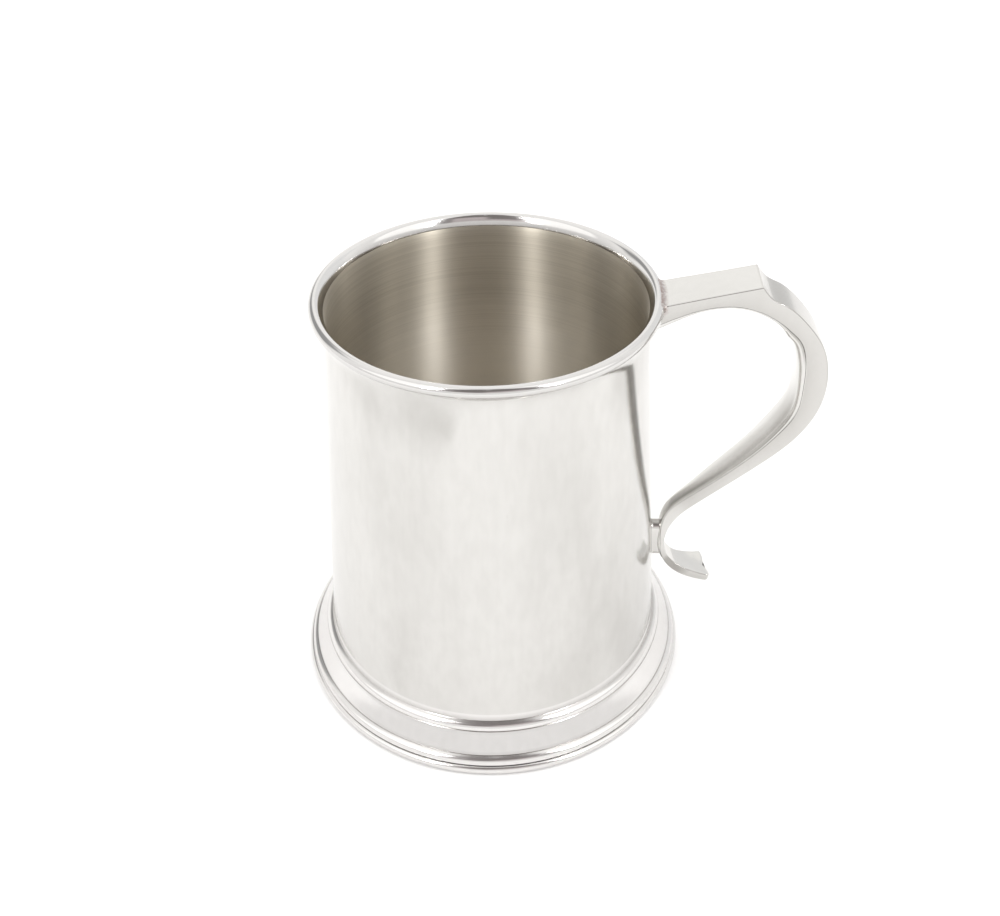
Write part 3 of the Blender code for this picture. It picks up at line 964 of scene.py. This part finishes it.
@dataclass
class Handle:
    """Scroll handle: a channel-shaped strap with a scooped terminal, its liner and the lower pad.

    A row holds a share of the way from the lip to the joint, the back arris and the inner edge
    from there, outward and up, the width and the liner's depth. Fields that end in rows are
    places along the run, counted in its rows.
    """

    cup: Cup
    sections: int = 1600
    root_rings: int = 60
    root_crowding: float = 1.6
    later_rings: int = 420
    joint_height: float = 0.0385
    standoff: float = 0.0014
    pad_height: float = 0.0121
    pad_width: float = 0.0044
    scoop: float = 0.0008
    tip_draw: tuple[float, ...] = (0.0004, 0.0000, 0.0014, 0.0012, 0.0021)
    tip_reach: float = 0.0048
    crown: float = 3.0
    back_round: float = 0.00028
    inner_round: float = 0.00016
    most_round: float = 0.42
    seam: float = 0.00006
    solder: float = 0.0007
    sunk: float = 0.00015
    crust_reach: float = 0.0011
    # Painted shade on the strap's sides and at its heel, and a painted reflection on its back round
    # the turn.
    side_painted_shade: Point = (0.18, 0.32)
    side_edge: Point = (0.90, 0.995)
    pad_clear: float = 0.8
    heel_painted_shade: float = 0.55
    heel_edge: Point = (0.3, 0.9)
    turn_painted_reflection: float = 0.37
    turn_rows: Rows = (3.97, 4.03, 9.4, 10.8)
    turn_edge: Point = (0.10, 0.03)
    pad_film: float = 0.06
    pad_ends: Point = (0.80, 0.99)
    pad_solder: float = 0.8
    seam_film: float = 0.55
    seam_faint: float = 0.7
    seam_depth: float = 0.97
    seam_edge: Point = (0.05, 0.02)
    # Painted reflection: a darker band along the liner.
    liner_painted_reflection: float = 0.60
    liner_reflection_share: Rows = (0.19, 0.35, 0.36, 0.68)
    liner_reflection_rows: Rows = (9.5, 11.5, 15.5, 17.0)
    ridge_row: int = 4
    liner_end: float = 19.0
    liner_fade: float = 0.8
    liner_least: float = 0.0004
    pad_rows: Point = (15.0, 20.5)
    seam_rows: Rows = (5.5, 7.0, 8.2, 9.2)
    again_rows: Point = (10.6, 11.6)
    heel_rows: Rows = (18.6, 19.4, 20.2, 21.6)
    scoop_rows: tuple[int, int] = (19, 22)
    rows: tuple[tuple, ...] = (
        (0.00, (-0.0060, -0.0017), (-0.0060, -0.0079), 0.0134, 0.0026),
        (0.00, (0.0035, 0.0004), (0.0034, -0.0034), 0.0129, 0.0019),
        (0.00, (0.0090, 0.0017), (0.0088, -0.0015), 0.0125, 0.0013),
        (0.00, (0.0155, 0.0032), (0.0152, -0.0006), 0.0122, 0.0010),
        (0.00, (0.0225, 0.0047), (0.0211, -0.0015), 0.0120, 0.0010),
        (0.00, (0.0254, 0.0014), (0.0248, -0.0031), 0.0119, 0.0011),
        (0.00, (0.0287, -0.0003), (0.0278, -0.0050), 0.0118, 0.0013),
        (0.05, (0.0338, -0.0007), (0.0310, -0.0038), 0.0119, 0.0021),
        (0.10, (0.0382, -0.0024), (0.0336, -0.0030), 0.0119, 0.0024),
        (0.20, (0.0406, -0.0014), (0.0351, -0.0015), 0.0118, 0.0020),
        (0.30, (0.0409, -0.0004), (0.0351, 0.0001), 0.0117, 0.0016),
        (0.40, (0.0391, -0.0003), (0.0343, 0.0007), 0.0115, 0.0014),
        (0.50, (0.0346, -0.0002), (0.0306, 0.0019), 0.0112, 0.0010),
        (0.60, (0.0277, -0.0001), (0.0249, 0.0024), 0.0100, 0.0007),
        (0.75, (0.0179, 0.0023), (0.0151, 0.0041), 0.0079, 0.0005),
        (0.90, (0.0100, 0.0065), (0.0074, 0.0087), 0.0055, 0.0005),
        (1.00, (0.0048, 0.0087), (0.0020, 0.0103), 0.0046, 0.0005),
        (1.00, (0.0024, 0.0030), (0.0007, 0.0034), 0.0049, 0.0005),
        (1.00, (0.0022, -0.0015), (0.0008, -0.0019), 0.0051, 0.0005),
        (1.00, (0.0034, -0.0050), (0.0021, -0.0061), 0.0053, 0.0005),
        (1.00, (0.0059, -0.0076), (0.0047, -0.0096), 0.0061, 0.0005),
        (1.00, (0.0102, -0.0094), (0.0095, -0.0118), 0.0082, 0.0005),
        (1.00, (0.0163, -0.0104), (0.0161, -0.0124), 0.0104, 0.0005),
    )

    def run(self) -> Run:
        """Read the rows as splines, with the back straight from the root to the ridge.

        Returns:
            The sections, evenly spaced, one of them on the ridge.
        """
        share, back, inner, width, liner = (np.array(column) for column in zip(*self.rows))
        lip = np.array((self.cup.lip_radius, self.cup.rim_height))
        standing = self.cup.radius(self.joint_height) + self.standoff
        base = lip + np.outer(share, np.array((standing, self.joint_height)) - lip)
        back, inner = base + back, base + inner
        strides = np.linalg.norm(np.diff((back + inner) / 2, axis=0), axis=1)
        knots = np.concatenate(([0.0], np.cumsum(strides)))
        ridge = knots[self.ridge_row]
        places = np.linspace(0.0, knots[-1], self.sections)
        places[np.argmin(np.abs(places - ridge))] = ridge
        top = back[0] + (back[self.ridge_row] - back[0]) * (places / ridge)[:, None]
        beyond = np.maximum(places, ridge)
        scroll = smooth_curve(knots[self.ridge_row:], back[self.ridge_row:], beyond)
        row = np.interp(places, knots, np.arange(len(knots)))
        first, last = self.pad_rows[0], self.liner_end
        beside = between(row, (first, first + 1, last - 1, last))
        opened = between(row, self.seam_rows) + ramped(row, *self.again_rows) * self.seam_faint
        return Run(
            row=row,
            back=np.where((places <= ridge)[:, None], top, scroll),
            inner=smooth_curve(knots, inner, places),
            half=smooth_curve(knots, width, places) / 2,
            liner=np.maximum(smooth_curve(knots, liner, places), self.liner_least),
            scoop=np.interp(places, knots[list(self.scoop_rows)], (0.0, self.scoop)),
            left=knots[-1] - places,
            beside=beside,
            seam=self.seam_film * opened * (1.0 - beside),
        )

    def strap_grid(self, run: Run) -> tuple[Array, Array]:
        """Points of the strap: a rounded oblong, dished on its back and inside by the scoop.

        A corner point is a corner's centre plus its rounding times a unit vector, and the flat
        points share out the way between two corners. The dish is the scoop times one minus the
        square of the share of the half width. Near the tip both thickness and width close in like
        a quarter circle, and the tip is drawn back unevenly across its width.

        Args:
            run: the sections.

        Returns:
            The points, (sections, points, 3), and their darkening: painted shade, painted
            reflection and the seam's film.
        """
        depth, half = run.depth, run.half
        nose = depth / 2
        near = np.clip(1.0 - run.left / nose, 0.0, 1.0)
        closing = np.sqrt(1.0 - near**2)
        limits = np.array([self.back_round, self.back_round, self.inner_round, self.inner_round])
        rounds = np.minimum(limits, depth[:, None] * self.most_round)
        side = np.array([-1.0, 1.0, 1.0, -1.0])
        deep = np.array([0.0, 0.0, 1.0, 1.0])
        centre_y = side * (half[:, None] - rounds)
        centre_d = deep * depth[:, None] + (1.0 - 2.0 * deep) * rounds
        quarter = np.linspace(0.0, math.pi / 2, 7)
        turn = np.radians([180.0, 270.0, 0.0, 90.0])[:, None] + quarter
        share = np.array([0.01, 0.04, 0.12, 0.28, 0.5, 0.72, 0.88, 0.96, 0.99])
        lines = []
        for centre, unit in ((centre_y, np.cos(turn)), (centre_d, np.sin(turn))):
            arc = centre[..., None] + rounds[..., None] * unit
            flat = arc[..., -1:] + (np.roll(arc[..., :1], -1, axis=1) - arc[..., -1:]) * share
            lines.append(np.concatenate([arc, flat], axis=-1).reshape(len(depth), -1))
        across, down = lines
        span = across / half[:, None]
        down = nose[:, None] + (down - nose[:, None]) * closing[:, None]
        down = down + run.scoop[:, None] * (1.0 - span**2)
        across = across * (1.0 - (1.0 - closing) * nose / half)[:, None]
        points = run.points(across, down)
        knots = np.linspace(-1.0, 1.0, len(self.tip_draw))
        draw = smooth_curve(knots, np.array(self.tip_draw), span.ravel()).reshape(span.shape)
        ease = np.clip(1.0 - run.left / self.tip_reach, 0.0, 1.0)[:, None]
        tip = run.back[-1] - run.back[-8]
        tip = tip / np.linalg.norm(tip)
        points[..., [0, 2]] -= (draw * ease)[..., None] * tip
        return points, self.strap_shade_and_seam(run, span, down / depth[:, None])

    def strap_shade_and_seam(self, run: Run, span: Array, deep: Array) -> Array:
        """Darkening on the strap: painted shade on its sides, a painted reflection on its back
        round the turn, painted shade at the heel, and a darker film in the seam.

        On the sides the painted shade grows towards the seam as the square of the depth.

        Args:
            run: the sections.
            span: shares of the half width across.
            deep: shares of the depth down.

        Returns:
            The darkening between nought and one, like span.
        """
        # Painted shade on the flat sides, darker towards the seam.
        side = ramped(np.abs(span), *self.side_edge)
        least, most = self.side_painted_shade
        darkening = side * (least + (most - least) * np.clip(deep, 0.0, 1.0) ** 2)
        darkening = darkening * (1.0 - self.pad_clear * run.beside[:, None])
        # Painted reflection: a darker band on the back round the turn.
        turn = between(run.row, self.turn_rows)[:, None] * ramped(deep, *self.turn_edge)
        # Painted shade at the heel, on its sides and underside.
        inner = np.maximum(side, ramped(deep, *self.heel_edge))
        heel = between(run.row, self.heel_rows)[:, None] * inner
        darkening = np.maximum(np.maximum(darkening, self.turn_painted_reflection * turn), self.heel_painted_shade * heel)
        lined = (run.row < self.liner_end)[:, None]
        return np.where(lined & (deep > self.seam_depth), run.seam[:, None], darkening)

    def liner_grid(self, run: Run) -> tuple[Array, Array]:
        """Points of the liner: half a squarish ellipse on a flat, thinned before its lower end.

        A point of it at angle a is cos a half widths across and sin a liner depths down, both to
        the power of 2 over the crown, which is 2 for a true ellipse and larger for a squarer one.

        Args:
            run: the sections.

        Returns:
            The points, (sections, points, 3), and their darkening: a painted reflection band along
            the liner, and the seam's film.
        """
        angle = np.linspace(0.0, math.pi, 61)
        half = (run.half - self.seam)[:, None]
        thin = np.clip((self.liner_end - run.row) / self.liner_fade, 0.02, 1.0) ** 0.5
        power = 2.0 / self.crown
        deep = (run.liner * thin)[:, None] * np.clip(np.sin(angle), 0.0, None) ** power
        across = -np.sign(np.cos(angle)) * np.abs(np.cos(angle)) ** power * half
        inside = np.array([0.9, 0.5, 0.0, -0.5, -0.9]) * half
        down = np.concatenate([deep, np.zeros_like(inside)], axis=1)
        down = (run.depth + self.seam)[:, None] + down
        grid = run.points(np.concatenate([across, inside], axis=1), down)
        share = angle / math.pi
        # Painted reflection: a darker band along the liner.
        reflected_band = between(share, self.liner_reflection_share) * between(run.row, self.liner_reflection_rows)[:, None]
        seam = run.seam[:, None]
        darkening = np.maximum(reflected_band * self.liner_painted_reflection, seam * ramped(share, *self.seam_edge))
        return grid, np.concatenate([darkening, seam + 0.0 * inside], axis=1)

    def seated(self, lines: Array, darkening: Array, run: Run) -> tuple[Array, Marks]:
        """Start every lengthwise line of a grid on the cup, with a small fillet of solder.

        A line starts where it last comes out of the cup, sunk a little. The fillet stands out
        along the section's outward normal laid flat on the cup.

        Args:
            lines: points, (sections, points, 3).
            darkening: how much darker each of them is.
            run: the same sections.

        Returns:
            The grid with its own rings, (rings, points, 3), and its marks.
        """
        distance = self.cup.gap(lines)[0] + self.sunk
        sections, columns = distance.shape
        inside = distance < 0.0
        last = np.where(inside.any(axis=0), sections - 1 - np.argmax(inside[::-1], axis=0), 0)
        pair = np.take_along_axis(distance, np.stack([last, last + 1]), axis=0)
        start = last + np.clip(pair[0] / (pair[0] - pair[1]), 0.0, 1.0)
        ridge = int(np.argmin(np.abs(run.row - self.ridge_row)))
        ease = np.linspace(0.0, 1.0, self.root_rings, endpoint=False) ** self.root_crowding
        root = start + (ridge - start) * ease[:, None]
        later = np.linspace(ridge, sections - 1, self.later_rings)[:, None] + np.zeros(columns)
        index = np.concatenate([root, later])
        low = np.clip(index.astype(int), 0, sections - 2)
        share = (index - low)[..., None]
        column = np.arange(columns)
        grid = lines[low, column] * (1.0 - share) + lines[low + 1, column] * share
        distance, out = self.cup.gap(grid)
        along = np.gradient(grid, axis=0)
        around = np.roll(grid, -1, axis=1) - np.roll(grid, 1, axis=1)
        normal = np.cross(around, along)
        middle = grid.mean(axis=1, keepdims=True)
        normal *= np.sign((normal * (grid - middle)).sum(axis=-1, keepdims=True))
        normal -= out * (normal * out).sum(axis=-1, keepdims=True)
        normal /= np.linalg.norm(normal, axis=-1, keepdims=True) + 1e-12
        stand = fillet(np.maximum(distance, 0.0), self.solder)
        stand[self.root_rings:] = 0.0
        crust = np.clip(1.0 - distance / self.crust_reach, 0.0, 1.0)
        crust[self.root_rings:] = 0.0
        kept = darkening[low, column] * (1.0 - share[..., 0]) + darkening[low + 1, column] * share[..., 0]
        return grid + normal * stand[..., None], {"tarnish_and_painted_shade": kept, "solder": crust}

    def pad_grid(self, run: Run) -> tuple[Array, Marks]:
        """Points of the pad: a slot from the drum to the handle that spreads at both ends.

        Args:
            run: the sections.

        Returns:
            The points, (rings, points, 3), and their marks.
        """
        angle = np.linspace(0.0, math.tau, 64, endpoint=False)
        half = self.pad_width / 2
        straight = self.pad_height / 2 - half
        normal = np.stack([np.cos(angle), np.sin(angle)], axis=1)
        shape = normal * half + np.stack([0.0 * angle, np.sign(normal[:, 1]) * straight], axis=1)
        beside = run.cut(*self.pad_rows)
        order = np.argsort(beside.inner[:, 1])
        share = np.linspace(0.0, 1.0, 24)[:, None]
        height = self.joint_height + shape[:, 1]
        near = self.cup.radius(height)
        near = np.sqrt(near**2 - shape[:, 0] ** 2) - self.sunk
        far = np.interp(height, beside.inner[order, 1], beside.inner[order, 0]) + self.sunk
        out = near + (far - near) * share
        close = np.minimum(out - near, far - out)
        stand = fillet(close, self.solder * self.pad_solder)
        across = shape[:, 0] + normal[:, 0] * stand
        up = height + normal[:, 1] * stand
        ends = ramped(np.abs(normal[:, 1]), *self.pad_ends)
        darkening = np.maximum(self.seam_film * ends + 0.0 * close, self.pad_film)
        return np.stack([out, across, up], axis=-1), {"tarnish_and_painted_shade": darkening}

    def build(self) -> None:
        """Build the strap, the liner and the pad."""
        run = self.run()
        lined = run.cut(0.0, self.liner_end)
        pieces = (
            ("scroll_strap", self.seated(*self.strap_grid(run), run), "handle_strap"),
            ("scroll_liner", self.seated(*self.liner_grid(lined), lined), "handle_liner"),
            ("heel_pad", self.pad_grid(run), "joint_pad"),
        )
        for name, (grid, marks), node in pieces:
            places = grid + (self.cup.axis_x, 0.0, 0.0)
            register(skin(name, places, self.cup.finishes.handle, marks), node)


# Studio


@dataclass(frozen=True)
class Patch:
    """Soft-edged patch of the surround.

    Args:
        turns: its ends round the axis from the camera's side, positive towards the handle.
        heights: its lowest and highest height angle.
        blur: half the width of its soft edge.
    """

    turns: Point
    heights: Point
    blur: float = 2.5

    def mask(self, turn: Link, height: Link) -> Link:
        """Product of a smooth step up and a smooth step down for each of the two angles.

        Args:
            turn: angle round the axis from the camera's side.
            height: height angle.

        Returns:
            One inside the patch, nought outside.
        """
        blur = math.radians(self.blur)
        steps = []
        for angle, ends in ((turn, self.turns), (height, self.heights)):
            low, high = (math.radians(end) for end in ends)
            steps.append(angle.graph.ramp(angle, low - blur, low + blur))
            steps.append(angle.graph.ramp(angle, high + blur, high - blur))
        return math.prod(steps[1:], start=steps[0])


@dataclass
class Studio:
    """Pale floor, soft lights, surround and camera. Angles are in degrees from +X round +Z."""

    axis_x: float
    floor_radius: float = 1.3
    floor_tone: float = 0.95
    front: float = -86.1
    camera_distance: float = 0.23923
    camera_height: float = 0.25433
    camera_pitch: float = 38.2197
    camera_yaw: float = -3.2258
    camera_roll: float = -0.8127
    lens: float = 39.62
    surround: Colour = (0.98, 0.97, 0.96)
    backdrop: Colour = (1.18, 1.17, 1.15)
    glow: Colour = (1.42, 1.41, 1.39)
    glow_patch: Patch = Patch((43.0, 84.0), (18.0, 80.0))
    shades: tuple[tuple[float, Patch], ...] = (
        (0.40, Patch((-162.0, -112.0), (13.0, 42.0), 6.0)),
        (1.00, Patch((112.0, 170.0), (-30.0, 42.0), 6.0)),
    )
    dark: Colour = (0.25, 0.23, 0.225)
    dark_patch: Patch = Patch((-36.0, 36.0), (23.0, 86.0))
    pale: Colour = (0.64, 0.58, 0.58)
    pale_patches: tuple[Patch, ...] = (
        Patch((-2.0, 24.0), (16.0, 42.0)),
        Patch((-31.0, -2.0), (16.0, 30.0)),
    )
    spark: float = 2.5
    spark_patch: Patch = Patch((-2.5, 1.5), (74.0, 79.0))
    box_turns: Point = (-37.5, 41.0)
    box_height: float = 41.0
    box_distance: float = 1.2
    box_wide: float = 0.08
    box_tall: float = 0.54
    box_power: float = 4.8
    fill_height: float = 3.0
    fill_wide: float = 6.0
    fill_power: float = 80.0

    def outward(self, turn: float, height: float) -> Array:
        """Unit vector at an angle round the axis and a height angle."""
        a, b = math.radians(turn), math.radians(height)
        return np.array([math.cos(a) * math.cos(b), math.sin(a) * math.cos(b), math.sin(b)])

    def build_floor(self) -> None:
        """Lay a round pale floor."""
        angle = np.linspace(0.0, math.tau, 96, endpoint=False)
        rim = np.stack([np.cos(angle), np.sin(angle), 0.0 * angle], axis=1) * self.floor_radius
        mesh = bpy.data.meshes.new("studio_floor")
        mesh.from_pydata(rim.tolist(), [], [list(range(len(rim)))])
        material = bpy.data.materials.new("pale floor")
        material.use_nodes = True
        shader = material.node_tree.nodes["Principled BSDF"]
        shader.inputs["Base Color"].default_value = opaque([self.floor_tone] * 3)
        shader.inputs["Roughness"].default_value = 0.9
        shader.inputs["Specular IOR Level"].default_value = 0.1
        mesh.materials.append(material)
        show("studio_floor", mesh)

    def hang(self, name: str, size: Point, power: float, place: Array) -> bpy.types.Object:
        """Hang a soft box that faces the tankard.

        Args:
            name: the lamp's name.
            size: its width and height.
            power: its power in watts.
            place: where it hangs.

        Returns:
            The lamp.
        """
        lamp = bpy.data.lights.new(name, "AREA")
        lamp.shape = "RECTANGLE"
        lamp.size, lamp.size_y = size
        lamp.energy = power
        item = show(name, lamp)
        item.location = place
        item.rotation_euler = Vector(-place).to_track_quat("-Z", "Y").to_euler()
        return item

    def build_boxes(self) -> None:
        """Hang a tall strip on each side for the metal, and a wide box above for the floor."""
        size = (self.box_wide, self.box_tall)
        for number, turn in enumerate(self.box_turns):
            place = self.outward(self.front + turn, self.box_height) * self.box_distance
            strip = self.hang(f"strip_{number}", size, self.box_power, place)
            strip.visible_diffuse = False
        place = np.array([0.0, 0.0, self.fill_height])
        fill = self.hang("fill", (self.fill_wide, self.fill_wide), self.fill_power, place)
        fill.visible_glossy = False

    def build_surround(self) -> None:
        """Light the scene from a pale surround with soft patches, which only the metal shows."""
        world = bpy.data.worlds.new("studio surround")
        world.use_nodes = True
        bpy.context.scene.world = world
        graph = Graph(world.node_tree)
        way = graph.out(graph.node("TexCoord"), "Generated")
        ahead, beside = (graph.across(way, self.outward(self.front + turn, 0.0))
                         for turn in (0.0, 90.0))
        turn = graph.math("ARCTAN2", beside, ahead)
        height = graph.math("ARCSINE", graph.across(way, UP))
        behind = graph.ramp(ahead, 0.3, -0.6)
        room = graph.blend(behind, opaque(self.surround), opaque(self.backdrop))
        for shade, patch in self.shades:
            room = graph.blend(patch.mask(turn, height), room, opaque([shade] * 3))
        glow = self.glow_patch.mask(graph.math("ABSOLUTE", turn), height)
        room = graph.blend(glow, room, opaque(self.glow))
        inner = opaque(self.dark)
        for patch in self.pale_patches:
            inner = graph.blend(patch.mask(turn, height), inner, opaque(self.pale))
        spark = self.spark_patch.mask(turn, height)
        inner = graph.blend(spark, inner, opaque([self.spark] * 3))
        tone = graph.blend(self.dark_patch.mask(turn, height), room, inner)
        seen = graph.out(graph.node("LightPath"), "Is Camera Ray")
        colour = graph.blend(seen, tone, opaque([1.0] * 3))
        graph.feed(world.node_tree.nodes["Background"].inputs["Color"], colour)

    def build_camera(self) -> None:
        """Stand the camera where the photograph was taken."""
        pitch, yaw, roll = (math.radians(angle) for angle in
                            (self.camera_pitch, self.camera_yaw, self.camera_roll))
        forward = np.array([math.sin(yaw) * math.cos(pitch), math.cos(yaw) * math.cos(pitch),
                            -math.sin(pitch)])
        level = np.array([math.cos(yaw), -math.sin(yaw), 0.0])
        above = np.cross(level, forward)
        right = math.cos(roll) * level + math.sin(roll) * above
        up = -math.sin(roll) * level + math.cos(roll) * above
        lens = bpy.data.cameras.new("studio_camera")
        lens.lens = self.lens
        lens.sensor_width = 36.0
        lens.sensor_fit = "HORIZONTAL"
        lens.clip_start = 0.01
        turn = np.eye(4)
        turn[:3, 0], turn[:3, 1], turn[:3, 2] = right, up, -forward
        turn[:3, 3] = self.outward(self.front, 0.0) * self.camera_distance
        turn[0, 3] += self.axis_x
        turn[2, 3] = self.camera_height
        camera = show("studio_camera", lens)
        camera.matrix_world = turn.T
        bpy.context.scene.camera = camera

    def build(self) -> None:
        """Build the whole studio."""
        self.build_floor()
        self.build_boxes()
        self.build_surround()
        self.build_camera()
        bpy.context.scene.view_settings.view_transform = "Standard"


def main() -> None:
    """Build every piece and the studio."""
    logging.basicConfig(level=logging.INFO, format="%(name)s: %(message)s")
    low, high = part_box("drum")
    axis_x = (low[0] + high[0]) / 2
    Studio(axis_x).build()
    cup = Cup(axis_x, Finishes.build())
    for part in (cup, Foot(cup), Handle(cup)):
        part.build()


if __name__ == "__main__":
    main()
